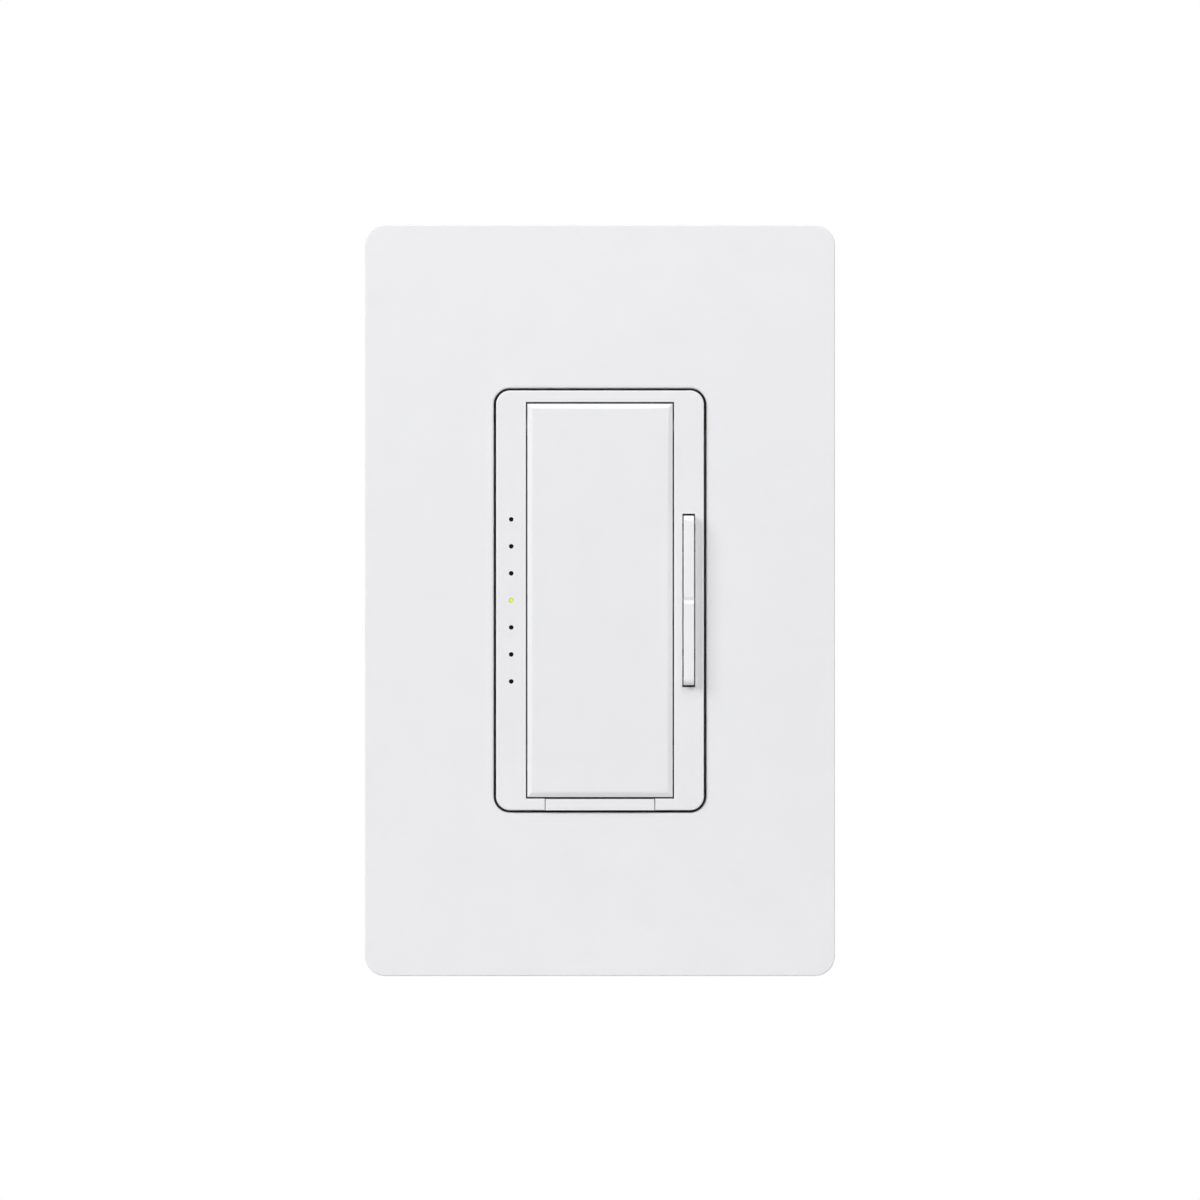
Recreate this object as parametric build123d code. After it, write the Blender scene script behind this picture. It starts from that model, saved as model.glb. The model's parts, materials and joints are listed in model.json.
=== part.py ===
from build123d import *
import math
import os

# Wall-box dimmer control with a screwless wallplate.
#
# A large tap switch fills the middle of a slim bezel, with a column of seven status lights on its left, a
# narrow dimming rocker on its right and a pull-out service tab below. The bezel sits on an aluminium yoke
# whose back carries a plastic housing with two circuit boards, and a two-piece wallplate covers the yoke.
#
# Frame: +X to the viewer's right, +Z up, +Y into the wall, in millimetres. The wall's surface is the plane
# y = 0, and the origin is midway between the two screws that hold the yoke to the wall box.

# ---- Driving dimensions --------------------------------------------------------------------------

# Wallplate cover
PLATE_WIDTH, PLATE_HEIGHT, PLATE_DEPTH = 74.5, 119.1, 7.6
PLATE_CORNER, PLATE_EDGE_ROUND = 3.2, 0.22
PLATE_FACE, PLATE_WALL = 2.0, 1.7
OPENING_WIDTH, OPENING_HEIGHT, OPENING_CORNER, OPENING_ROUND = 33.75, 67.3, 2.6, 0.3

# Bezel
BEZEL_WIDTH, BEZEL_HEIGHT, BEZEL_CORNER = 32.9, 66.5, 2.2
BEZEL_PROUD, BEZEL_FACE, BEZEL_WALL, BEZEL_ROUND = 0.55, 1.4, 1.2, 0.2
WELL_WIDTH, WELL_HEIGHT, WELL_WALL, WELL_WALL_BACK, WELL_ROUND = 23.46, 62.84, 1.15, -3.4, 0.1
POST_Z, POST_R, STAKE_R, STAKE_HEAD = 24.0, 1.15, 1.0, (1.7, 0.6)

# Tap switch
TAP_WIDTH, TAP_HEIGHT = 23.0, 62.3
TAP_PROUD, TAP_BEVEL, TAP_BEVEL_ROUND, TAP_FACE, TAP_WALL = 0.38, 0.76, 0.6, 1.38, 1.3
TAP_SKIRT_BACK, TAP_RIB_BACK, TAP_RIBS_Z = -3.6, -5.4, (-14.0, -4.0, 14.0, 22.0)
TAP_PIVOT_Z, TAP_PIVOT_Y, TRUNNION_R, TRUNNION_LENGTH, BEARING_CLEARANCE = 27.5, -5.0, 1.2, 1.2, 0.05
TAP_POST_Z, TAP_POST_R = 4.0, 1.6
HOOK_Y, HOOK_Z, HOOK_REACH = (-3.3, -2.5), (-27.0, -23.0), 0.85
SPRING_X, SPRING_Z, SPRING_R, SPRING_WIRE_R, SPRING_PITCH, SPRING_SEAT_R = 7.0, -22.0, 1.7, 0.2, 1.1, 1.2

# Dimming rocker
RAIL_X = 14.07
ROCKER_WIDTH, ROCKER_LENGTH, ROCKER_PROUD, ROCKER_END_ROUND, ROCKER_EDGE_ROUND = 1.66, 26.82, 1.7, 0.9, 0.14
ROCKER_BAR_BACK, ROCKER_HUB_BACK, ROCKER_HUB_HALF = -6.2, -3.6, 2.2
ROCKER_LEG_HALF, ROCKER_LEG_ROUND = 1.1, 0.5
ROCKER_SLOT_WIDTH, ROCKER_SLOT_LENGTH = 2.0, 27.48
ROCKER_NOTCH_WIDTH, ROCKER_NOTCH_DEPTH = 1.1, 0.17
ROCKER_PIVOT_Y, ROCKER_PIN_R, ROCKER_LEG_Z = -5.0, 0.75, 10.0

# Status lights
LIGHT_COUNT, LIGHT_PITCH, LIGHT_HOLE_R, LIGHT_TIP_R, LIGHT_RECESS = 7, 4.28, 0.37, 0.27, 0.35
LIGHT_SHAFT_R, LIGHT_SHAFT_START, LIGHT_PEG_R, LIGHT_PEG_BACK = 0.65, 0.9, 0.8, 1.2
LIGHT_SPINE_Y, LIGHT_SPINE_HALF = (-4.6, -3.4), (1.0, 14.3)

# Service tab and its air-gap contacts
TAB_WIDTH, TAB_GAP, TAB_DEPTH, STEM_WIDTH, STOP_WIDTH, TAB_CLEARANCE = 17.3, 0.1, 1.65, 10.0, 13.0, 0.1
TAB_TRAVEL, CAM_SLOPE, CAM_NOSE_Y, CAM_NOSE_R = 3.5, 0.3, 8.0, 0.9
ARM_PIVOT_X, ARM_Z, ARM_THICK = -12.5, -29.75, 0.5
CONTACT_X, CONTACT_R, CONTACT_THICK, CONTACT_GAP = 7.5, 1.5, 0.5, 0.02

# Yoke and the screws through it
YOKE_THICK, YOKE_WIDTH, YOKE_BODY_HEIGHT, YOKE_HEIGHT, EAR_WIDTH = 1.5, 66.5, 71.0, 104.8, 41.0
BOX_SCREW_SPACING, PLATE_SCREW_SPACING = 83.3, 96.8
BOX_SCREW_R, BOX_SCREW_NECK_R, BOX_SCREW_LENGTH, RETAINER_THICK = 1.75, 1.5, 21.0, 0.4

# Rear housing and the boards in it
HOUSING_WIDTH, HOUSING_HEIGHT, HOUSING_DEPTH, HOUSING_WALL = 44.0, 70.0, 31.0, 1.6
HOUSING_SCREW_X, HOUSING_SCREW_Z, BOSS_R = 17.6, 29.6, 3.2
BOARD_THICK, CONTROL_Y, POWER_Y = 1.6, 2.6, 16.6
POCKET_WIDTH, POCKET_DEPTH, POCKET_Y, POCKET_WALL = 10.0, 5.8, 20.5, 1.3
TERMINALS = {"line": (-1, 11.0), "load": (-1, -11.0), "traveler": (1, 0.0)}
STANDOFFS = [(-17.2, -17.3), (17.2, -17.3), (-17.2, 15.0), (17.2, 15.0)]

# Stations along Y that several parts share
PLATE_Y = -PLATE_DEPTH
BEZEL_Y = PLATE_Y - BEZEL_PROUD
TAP_Y = BEZEL_Y - TAP_PROUD
ROCKER_Y = BEZEL_Y - ROCKER_PROUD
YOKE_Y = -YOKE_THICK
ADAPTER_Y = YOKE_Y - 2.0
CONTACT_TIP_Y = 0.27
PLUNGER_GAP = 0.03
CONTROL_BACK = CONTROL_Y + BOARD_THICK
POWER_BACK = POWER_Y + BOARD_THICK
SIDES = (-1, 1)


# ---- Shape helpers -------------------------------------------------------------------------------

def block(x, y, z):
    """A box between two limits on each axis, given as (low, high) pairs."""
    size = [high - low for low, high in (x, y, z)]
    middle = [(high + low) / 2 for low, high in (x, y, z)]
    return Pos(*middle) * Box(*size)


def around(centre, half):
    """The (low, high) pair that reaches half each side of centre."""
    return centre - half, centre + half


def slab(width, height, corner, y, x=0.0, z=0.0):
    """A rounded rectangle seen from the front, filling the (front, back) pair y."""
    outline = Plane.XZ.offset(-y[1]) * Pos(x, z) * RectangleRounded(width, height, corner)
    return extrude(outline, y[1] - y[0])


def rod(radius, x, z, y):
    """A cylinder along Y, filling the (front, back) pair y."""
    return Pos(x, sum(y) / 2, z) * Rot(90, 0, 0) * Cylinder(radius, y[1] - y[0])


def cross_rod(radius, y, z, x):
    """A cylinder along X, filling the (low, high) pair x."""
    return Pos(sum(x) / 2, y, z) * Rot(0, 90, 0) * Cylinder(radius, x[1] - x[0])


def cone(wide, narrow, x, z, y):
    """A cone along Y, wide at its front and narrow at its back."""
    return Pos(x, sum(y) / 2, z) * Rot(90, 0, 0) * Cone(narrow, wide, y[1] - y[0])


def side_profile(points, x):
    """A closed outline of (y, z) points, filling the (low, high) pair x."""
    outline = Plane.YZ.offset(x[0]) * make_face(Polyline(*points, close=True))
    return extrude(outline, x[1] - x[0])


def drive_recess(x, z, y, reach, width):
    """The cross-shaped driver recess of a screw along Y."""
    upright = block(around(x, width / 2), y, around(z, reach))
    level = block(around(x, reach), y, around(z, width / 2))
    return upright + level


def screw_along_y(x, z, seat, tip, head_r, head_thick, shank_r, head_side=1):
    """A pan-head screw along Y, whose head lies behind its seat when head_side is 1 and before it when -1."""
    top = seat + head_side * head_thick
    head = rod(head_r, x, z, sorted((seat, top)))
    rim = head.edges().group_by(Axis.Y)[-1 if head_side > 0 else 0]
    head = fillet(rim, head_thick * 0.45)
    recess = drive_recess(x, z, sorted((top, top - head_side * head_thick * 0.6)), head_r * 0.5, head_r * 0.2)
    return head - recess + rod(shank_r, x, z, sorted((seat, tip)))


# ---- Wallplate -----------------------------------------------------------------------------------

SNAP_X, SNAP_WIDTH, SNAP_Y, SNAP_REACH = 18.0, 8.0, (-1.9, -1.1), 0.9
COLLAR, COVER_RIB_Z, COVER_RIB_HEIGHT, PRY_NOTCH_HALF, PRY_NOTCH_DEPTH = 1.2, 36.0, 0.35, 5.0, 1.2


def wallplate_cover():
    """The snap-on cover: a shallow tray with a rectangular opening, inner snaps and a pry notch."""
    tray = slab(PLATE_WIDTH, PLATE_HEIGHT, PLATE_CORNER, (PLATE_Y, 0))
    tray = fillet(tray.edges().group_by(Axis.Y)[0], PLATE_EDGE_ROUND)
    inner_width, inner_height = PLATE_WIDTH - 2 * PLATE_WALL, PLATE_HEIGHT - 2 * PLATE_WALL
    tray -= slab(inner_width, inner_height, PLATE_CORNER - PLATE_WALL, (PLATE_Y + PLATE_FACE, 0))
    tray += slab(OPENING_WIDTH + 2 * COLLAR, OPENING_HEIGHT + 2 * COLLAR, OPENING_CORNER + COLLAR,
                 (PLATE_Y + PLATE_FACE, PLATE_Y + PLATE_FACE + COLLAR))
    tray -= slab(OPENING_WIDTH, OPENING_HEIGHT, OPENING_CORNER, (PLATE_Y, 0))
    mouth = [e for e in tray.edges().filter_by_position(Axis.Y, PLATE_Y - 0.01, PLATE_Y + 0.01)
             if abs(e.center().X) < OPENING_WIDTH / 2 + 1 and abs(e.center().Z) < OPENING_HEIGHT / 2 + 1]
    tray = fillet(mouth, OPENING_ROUND)
    wall_z = inner_height / 2
    for side_z in SIDES:
        for side_x in SIDES:
            ledge_z = sorted((side_z * (wall_z + 0.2), side_z * (wall_z - SNAP_REACH)))
            tray += block(around(side_x * SNAP_X, SNAP_WIDTH / 2), SNAP_Y, ledge_z)
            rib_x = sorted((side_x * (inner_width / 2 + 0.2), side_x * (inner_width / 2 - COVER_RIB_HEIGHT)))
            tray += block(rib_x, (PLATE_Y + PLATE_FACE, -1.0), around(side_z * COVER_RIB_Z, 0.6))
    notch_z = (-PLATE_HEIGHT / 2 - 1, -wall_z + 0.1)
    return tray - block(around(0, PRY_NOTCH_HALF), (-PRY_NOTCH_DEPTH, 0), notch_z)


ADAPTER_WIDTH, ADAPTER_HEIGHT, ADAPTER_RIM, ADAPTER_RIM_Y = 70.2, 114.8, 1.3, (-5.2, -0.5)
PLATE_SCREW_R, PLATE_SCREW_HEAD_R, PLATE_SCREW_HEAD_DEPTH, BOX_HEAD_HOLE_R = 1.7, 3.4, 1.6, 4.3
# Each adapter window: its width and height, then the X and Z of its middle
ADAPTER_WINDOWS = [(8.5, 24.0, 25.5, 16.0), (14.0, 8.0, 19.0, 46.0)]
ADAPTER_RIB_X, ADAPTER_RIB_Z, ADAPTER_RIB_LENGTH, ADAPTER_RIB_HEIGHT = 19.4, 17.0, 28.0, 1.2


def wallplate_adapter():
    """The frame that is screwed to the yoke and that the cover snaps onto."""
    frame = slab(ADAPTER_WIDTH, ADAPTER_HEIGHT, 1.6, ADAPTER_RIM_Y)
    inside = ADAPTER_WIDTH - 2 * ADAPTER_RIM, ADAPTER_HEIGHT - 2 * ADAPTER_RIM
    frame -= slab(*inside, 0.6, (ADAPTER_RIM_Y[0], ADAPTER_Y))
    frame -= slab(*inside, 0.6, (YOKE_Y, ADAPTER_RIM_Y[1]))
    frame -= slab(OPENING_WIDTH + 0.3, OPENING_HEIGHT + 0.3, OPENING_CORNER, ADAPTER_RIM_Y)
    floor = (ADAPTER_Y, YOKE_Y)
    for side_z in SIDES:
        screw_z = side_z * PLATE_SCREW_SPACING / 2
        frame -= rod(PLATE_SCREW_R + 0.2, 0, screw_z, floor)
        countersink_y = (ADAPTER_Y, ADAPTER_Y + PLATE_SCREW_HEAD_DEPTH)
        frame -= cone(PLATE_SCREW_HEAD_R + 0.1, PLATE_SCREW_R + 0.2, 0, screw_z, countersink_y)
        frame -= rod(BOX_HEAD_HOLE_R, 0, side_z * BOX_SCREW_SPACING / 2, floor)
        for side_x in SIDES:
            edge_z = ADAPTER_HEIGHT / 2
            pocket_z = sorted((side_z * (edge_z + 0.1), side_z * (edge_z - 0.6)))
            pocket_x = around(side_x * SNAP_X, SNAP_WIDTH / 2 + 0.4)
            frame -= block(pocket_x, (SNAP_Y[0] - 0.2, ADAPTER_RIM_Y[1]), pocket_z)
            for width, height, x, z in ADAPTER_WINDOWS:
                frame -= slab(width, height, 1.5, floor, side_x * x, side_z * z)
            rib_z = around(side_z * ADAPTER_RIB_Z, ADAPTER_RIB_LENGTH / 2)
            rib_y = (ADAPTER_Y - ADAPTER_RIB_HEIGHT, ADAPTER_Y)
            frame += block(around(side_x * ADAPTER_RIB_X, 0.5), rib_y, rib_z)
    return frame


def adapter_screws():
    """Two countersunk screws that hold the adapter to the yoke."""
    screws = []
    head_y = (ADAPTER_Y + 0.05, ADAPTER_Y + 0.05 + PLATE_SCREW_HEAD_DEPTH)
    for side_z in SIDES:
        z = side_z * PLATE_SCREW_SPACING / 2
        head = cone(PLATE_SCREW_HEAD_R, PLATE_SCREW_R, 0, z, head_y)
        head -= block(around(0, PLATE_SCREW_HEAD_R), (ADAPTER_Y, ADAPTER_Y + 0.75), around(z, 0.5))
        screws.append(head + rod(PLATE_SCREW_R, 0, z, (head_y[1] - 0.05, -0.1)))
    return Compound(children=screws)


# ---- Bezel and what shows through it -------------------------------------------------------------

def light_positions():
    """The heights of the status lights, from the lowest to the highest."""
    middle = (LIGHT_COUNT - 1) / 2
    return [(index - middle) * LIGHT_PITCH for index in range(LIGHT_COUNT)]


def front_edges(shape, y):
    """The edges of shape that lie in the plane of the given y."""
    return shape.edges().filter_by_position(Axis.Y, y - 0.01, y + 0.01)


def bezel():
    """The moulded frame round the tap switch, with its light holes, rocker slot and service-tab notch."""
    shell = slab(BEZEL_WIDTH, BEZEL_HEIGHT, BEZEL_CORNER, (BEZEL_Y, YOKE_Y))
    shell = fillet(front_edges(shell, BEZEL_Y), BEZEL_ROUND)
    face, back = (BEZEL_Y, BEZEL_Y + BEZEL_FACE), (BEZEL_Y + BEZEL_FACE, YOKE_Y)
    inner_width, inner_height = BEZEL_WIDTH - 2 * BEZEL_WALL, BEZEL_HEIGHT - 2 * BEZEL_WALL
    shell -= slab(inner_width, inner_height, BEZEL_CORNER - BEZEL_WALL, back)
    shell -= block(around(0, WELL_WIDTH / 2), face, around(0, WELL_HEIGHT / 2))
    shell -= block(around(RAIL_X, ROCKER_SLOT_WIDTH / 2), face, around(0, ROCKER_SLOT_LENGTH / 2))
    inner = [e for e in front_edges(shell, BEZEL_Y) if e.length > 2
             and abs(e.center().X) < BEZEL_WIDTH / 2 - 0.5 and abs(e.center().Z) < WELL_HEIGHT / 2 + 0.1]
    shell = fillet(inner, WELL_ROUND)
    for side in SIDES:
        shell += bezel_side(side, back)
    wall_to_wall = around(0, WELL_WIDTH / 2 + WELL_WALL)
    shell -= cross_rod(TRUNNION_R + BEARING_CLEARANCE, TAP_PIVOT_Y, TAP_PIVOT_Z, wall_to_wall)
    for z in light_positions():
        shell -= rod(LIGHT_HOLE_R, -RAIL_X, z, face)
        shell -= rod(LIGHT_SHAFT_R + 0.1, -RAIL_X, z, (BEZEL_Y + LIGHT_SHAFT_START - 0.1, face[1]))
    shell -= cross_rod(ROCKER_PIN_R + 0.01, ROCKER_PIVOT_Y, 0, (WELL_WIDTH / 2 + 0.2, BEZEL_WIDTH / 2))
    rail_z = (-BEZEL_HEIGHT / 2 - 1, -WELL_HEIGHT / 2)
    shell -= block(around(0, TAB_WIDTH / 2 + TAB_GAP), (BEZEL_Y, BEZEL_Y + TAB_DEPTH + 0.2), rail_z)
    return shell - block(around(0, STEM_WIDTH / 2 + 0.3), (BEZEL_Y, YOKE_Y), rail_z)


def bezel_side(side, back):
    """One side of the bezel's inside: the well's wall, a trunnion boss and two posts staked over the yoke."""
    well_x = sorted((side * WELL_WIDTH / 2, side * (WELL_WIDTH / 2 + WELL_WALL)))
    wall = block(well_x, (back[0], WELL_WALL_BACK), around(0, BEZEL_HEIGHT / 2 - BEZEL_WALL))
    wall += block(well_x, (back[0], TAP_PIVOT_Y + 2 * TRUNNION_R), around(TAP_PIVOT_Z, 2.8))
    head_r, head_thick = STAKE_HEAD
    for side_z in SIDES:
        wall += rod(POST_R, side * RAIL_X, side_z * POST_Z, back)
        wall += rod(STAKE_R, side * RAIL_X, side_z * POST_Z, (YOKE_Y, 0))
        wall += rod(head_r, side * RAIL_X, side_z * POST_Z, (0, head_thick))
    return wall


def light_pipe():
    """The clear comb that carries the light of each lamp to its hole in the bezel."""
    spine_x, spine_z = LIGHT_SPINE_HALF
    comb = block(around(-RAIL_X, spine_x), LIGHT_SPINE_Y, around(0, spine_z))
    shaft_front = BEZEL_Y + LIGHT_SHAFT_START
    for z in light_positions():
        comb += rod(LIGHT_SHAFT_R, -RAIL_X, z, (shaft_front, LIGHT_SPINE_Y[0]))
        comb += rod(LIGHT_TIP_R, -RAIL_X, z, (BEZEL_Y + LIGHT_RECESS, shaft_front))
        comb += rod(LIGHT_PEG_R, -RAIL_X, z, (LIGHT_SPINE_Y[1], LIGHT_PEG_BACK))
    return comb


def tap_switch():
    """The large paddle, hollow at the back, with its trunnions, switch post, spring seats and side hooks."""
    bevel_angle = math.degrees(math.atan(TAP_BEVEL / TAP_PROUD))
    front = Plane.XZ.offset(-BEZEL_Y) * Rectangle(TAP_WIDTH, TAP_HEIGHT)
    paddle = block(around(0, TAP_WIDTH / 2), (BEZEL_Y, TAP_SKIRT_BACK), around(0, TAP_HEIGHT / 2))
    paddle += extrude(front, TAP_PROUD, taper=bevel_angle)
    paddle = fillet(front_edges(paddle, TAP_Y), TAP_BEVEL_ROUND)
    inside = TAP_Y + TAP_FACE
    inner_x, inner_z = TAP_WIDTH / 2 - TAP_WALL, TAP_HEIGHT / 2 - TAP_WALL
    paddle -= slab(2 * inner_x, 2 * inner_z, 0.5, (inside, TAP_SKIRT_BACK))
    paddle += block(around(0, 0.5), (inside, TAP_RIB_BACK), around(0, inner_z))
    for z in TAP_RIBS_Z:
        paddle += block(around(0, inner_x), (inside, TAP_RIB_BACK), around(z, 0.5))
    paddle += rod(TAP_POST_R, 0, TAP_POST_Z, (inside, CONTACT_TIP_Y))
    for side in SIDES:
        axle_x = sorted((side * (TAP_WIDTH / 2 - 0.2), side * (TAP_WIDTH / 2 + TRUNNION_LENGTH)))
        paddle += cross_rod(TRUNNION_R, TAP_PIVOT_Y, TAP_PIVOT_Z, axle_x)
        arm_x = sorted((side * inner_x, side * TAP_WIDTH / 2))
        paddle += block(arm_x, (TAP_SKIRT_BACK, HOOK_Y[1]), HOOK_Z)
        hook_x = sorted((side * TAP_WIDTH / 2, side * (TAP_WIDTH / 2 + HOOK_REACH)))
        paddle += block(hook_x, HOOK_Y, HOOK_Z)
        paddle += rod(SPRING_SEAT_R, side * SPRING_X, SPRING_Z, (inside, inside + 1.2))
    return paddle


def tap_return_springs():
    """Two coil springs between the tap switch and the yoke."""
    front, back = TAP_Y + TAP_FACE + SPRING_WIRE_R + 0.03, YOKE_Y - SPRING_WIRE_R - 0.03
    path = Helix(pitch=SPRING_PITCH, height=back - front, radius=SPRING_R)
    coil = sweep(Plane(path @ 0, z_dir=path % 0) * Circle(SPRING_WIRE_R), path=path, is_frenet=True)
    springs = [Pos(side * SPRING_X, back, SPRING_Z) * Rot(90, 0, 0) * coil for side in SIDES]
    return Compound(children=springs)


def dimming_rocker():
    """The narrow rocker bar with a notch at its middle, a hub on its pin and two legs for its switches."""
    half, notch = ROCKER_LENGTH / 2, ROCKER_NOTCH_WIDTH / 2
    across = around(RAIL_X, ROCKER_WIDTH / 2)
    bar = block(across, (ROCKER_Y, ROCKER_BAR_BACK), around(0, half))
    bar = fillet([e for e in front_edges(bar, ROCKER_Y) if e.length < ROCKER_WIDTH + 0.1], ROCKER_END_ROUND)
    long_edges = [e for e in front_edges(bar, ROCKER_Y) if e.length > ROCKER_WIDTH + 0.1]
    bar = fillet(long_edges, ROCKER_EDGE_ROUND)
    bar -= side_profile([(ROCKER_Y, notch), (ROCKER_Y + ROCKER_NOTCH_DEPTH, 0), (ROCKER_Y, -notch)], across)
    bar += block(across, (ROCKER_BAR_BACK, ROCKER_HUB_BACK), around(0, ROCKER_HUB_HALF))
    bar -= cross_rod(ROCKER_PIN_R + BEARING_CLEARANCE, ROCKER_PIVOT_Y, 0, across)
    for side in SIDES:
        leg = block(across, (ROCKER_BAR_BACK, CONTACT_TIP_Y), around(side * ROCKER_LEG_Z, ROCKER_LEG_HALF))
        tip = [e for e in leg.edges().filter_by(Axis.X) if e.center().Y > 0]
        bar += fillet(tip, ROCKER_LEG_ROUND)
    return bar


def rocker_pin():
    """The steel pin that the rocker turns on."""
    return cross_rod(ROCKER_PIN_R, ROCKER_PIVOT_Y, 0, (WELL_WIDTH / 2 + 0.3, BEZEL_WIDTH / 2 - 0.2))


# ---- Service tab and air-gap switch --------------------------------------------------------------

TAB_Z = (-BEZEL_HEIGHT / 2, -WELL_HEIGHT / 2 - 0.05)
STEM_Z = (-33.0, -31.8)
CAM_START_Y, CAM_END_Y, CAM_WIDTH = 7.0, 13.0, 4.0
PULL_GROOVE_WIDTH, PULL_GROOVE_Y, PULL_GROOVE_DEPTH = 12.0, (0.8, 1.3), 0.35


def airgap_tab():
    """The pull-out tab: a flush head, a flat stem through the yoke, stop shoulders and the cam ramp."""
    head = block(around(0, TAB_WIDTH / 2), (BEZEL_Y, BEZEL_Y + TAB_DEPTH), TAB_Z)
    head = fillet(front_edges(head, BEZEL_Y).filter_by(Axis.Z), BEZEL_ROUND)
    groove_y = [BEZEL_Y + y for y in PULL_GROOVE_Y]
    head -= block(around(0, PULL_GROOVE_WIDTH / 2), groove_y, (TAB_Z[0], TAB_Z[0] + PULL_GROOVE_DEPTH))
    stem = block(around(0, STEM_WIDTH / 2), (BEZEL_Y + TAB_DEPTH, CAM_END_Y), STEM_Z)
    stop_y = TAB_TRAVEL + TAB_CLEARANCE
    shoulders = block(around(0, STOP_WIDTH / 2), (stop_y, stop_y + 1.6), STEM_Z)
    rise = CAM_SLOPE * (CAM_END_Y - CAM_START_Y)
    ramp = side_profile([(CAM_START_Y, STEM_Z[1]), (CAM_END_Y, STEM_Z[1] + rise), (CAM_END_Y, STEM_Z[0]),
                         (CAM_START_Y, STEM_Z[0])], around(0, CAM_WIDTH / 2))
    return head + stem + shoulders + ramp


def airgap_contact_arm():
    """The springy arm that the cam lifts off the fixed contact, with its round root and cam nose."""
    width = around(CAM_NOSE_Y, STRIP_WIDTH / 2)
    blade = block((ARM_PIVOT_X, CONTACT_X + 2), width, around(ARM_Z, ARM_THICK / 2))
    root = rod(ARM_THICK / 2, ARM_PIVOT_X, ARM_Z, width)
    ramp_z = STEM_Z[1] + CAM_SLOPE * (CAM_NOSE_Y - CAM_START_Y)
    nose_z = ramp_z + (CAM_NOSE_R + PLUNGER_GAP) * math.hypot(1, CAM_SLOPE)
    return blade + root + Pos(0, CAM_NOSE_Y, nose_z) * Sphere(CAM_NOSE_R)


def contact_button(top):
    """A silver contact button whose upper face is at the height top."""
    low, high = top - CONTACT_THICK, top
    return Pos(CONTACT_X, CAM_NOSE_Y, (low + high) / 2) * Cylinder(CONTACT_R, high - low)


def airgap_moving_contact():
    """The silver button under the contact arm."""
    return contact_button(ARM_Z - ARM_THICK / 2)


def airgap_fixed_contact():
    """The silver button on the fixed strip."""
    return contact_button(ARM_Z - ARM_THICK / 2 - CONTACT_THICK - CONTACT_GAP)


STRIP_X, BRACKET_X, STRIP_THICK, STRIP_WIDTH = 12.9, -13.1, 0.6, 3.2
STRIP_TOP_Z, STRIP_TAIL_Z, BRACKET_Z, BRACKET_TAIL_Z = -27.5, (-29.2, -27.5), (-31.0, -26.5), (-28.2, -26.5)


def airgap_fixed_strip():
    """The brass strip that carries the fixed contact to the power board."""
    top = ARM_Z - ARM_THICK / 2 - 2 * CONTACT_THICK - CONTACT_GAP
    width, upright_x = around(CAM_NOSE_Y, STRIP_WIDTH / 2), around(STRIP_X, STRIP_THICK / 2)
    shelf = block((CONTACT_X - 2, upright_x[1]), width, (top - STRIP_THICK, top))
    riser = block(upright_x, width, (top, STRIP_TOP_Z))
    return shelf + riser + block(upright_x, (width[1], POWER_BACK + 0.5), STRIP_TAIL_Z)


def airgap_arm_bracket():
    """The brass bracket beside the contact arm's root, which feeds it from the power board."""
    width, upright_x = around(CAM_NOSE_Y, STRIP_WIDTH / 2), around(BRACKET_X, STRIP_THICK / 2)
    upright = block(upright_x, width, BRACKET_Z)
    return upright + block(upright_x, (width[1], POWER_BACK + 0.5), BRACKET_TAIL_Z)


# ---- Yoke and the screws through it --------------------------------------------------------------

YOKE_CORNER, EAR_CORNER = 2.5, 4.0
FIN_LINE_X, FIN_GROOVE = 22.9, 0.7
FIN_SLOT_WIDTH, FIN_SLOT_LENGTH, FIN_SLOTS_Z = 1.2, 11.0, (-26.5, 0.0, 26.5)
FIN_WINDOW_X, FIN_WINDOW_Z, FIN_WINDOW_WIDTH, FIN_WINDOW_LENGTH = 28.0, 22.0, 3.2, 6.4
BOX_SLOT_WIDTH, BOX_SLOT_HEIGHT, RETAINER_SIZE = 7.0, 4.4, 9.0
PAN_HEAD_R, PAN_HEAD_THICK, HOUSING_SCREW_R = 2.8, 1.8, 1.42
GROUND_X, GROUND_Z, GROUND_HOLE_R, GROUND_CUP_SIZE = -14.5, -40.5, 1.7, 8.6
GROUND_HEX_R, GROUND_WASHER_R, GROUND_WASHER_Y, GROUND_HEAD_TOP = 3.6, 4.2, (0.9, 1.5), 4.0
BOX_HEAD_R, BOX_HEAD_THICK = 3.4, 1.9
TRIAC_HOLE_Z = 30.4


def yoke():
    """The aluminium plate that everything hangs on, with ears, break-off side fins and its windows."""
    across = (YOKE_Y, 0)
    plate = slab(YOKE_WIDTH, YOKE_BODY_HEIGHT, YOKE_CORNER, across)
    plate += slab(EAR_WIDTH, YOKE_HEIGHT, EAR_CORNER, across)
    for side in SIDES:
        plate -= yoke_side_cuts(side, across)
        slot_z = side * BOX_SCREW_SPACING / 2
        plate -= slab(BOX_SLOT_WIDTH, BOX_SLOT_HEIGHT, BOX_SLOT_HEIGHT / 2 - 0.05, across, 0, slot_z)
        plate -= rod(1.8, 0, side * PLATE_SCREW_SPACING / 2, across)
        plate -= slab(ROCKER_WIDTH + 1.2, 2 * ROCKER_LEG_HALF + 2.4, 0.4, across, RAIL_X, side * ROCKER_LEG_Z)
    spine_x, spine_z = LIGHT_SPINE_HALF
    plate -= slab(2 * spine_x + 0.5, 2 * spine_z - 0.4, 0.6, across, -RAIL_X, 0)
    plate -= rod(TAP_POST_R + 0.6, 0, TAP_POST_Z, across)
    plate -= block(around(0, STEM_WIDTH / 2 + 0.3), across, (STEM_Z[0] - 0.2, STEM_Z[1] + 0.2))
    plate -= rod(HOUSING_SCREW_R + 0.08, 0, TRIAC_HOLE_Z, across)
    return plate - rod(GROUND_HOLE_R, GROUND_X, GROUND_Z, across)


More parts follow.
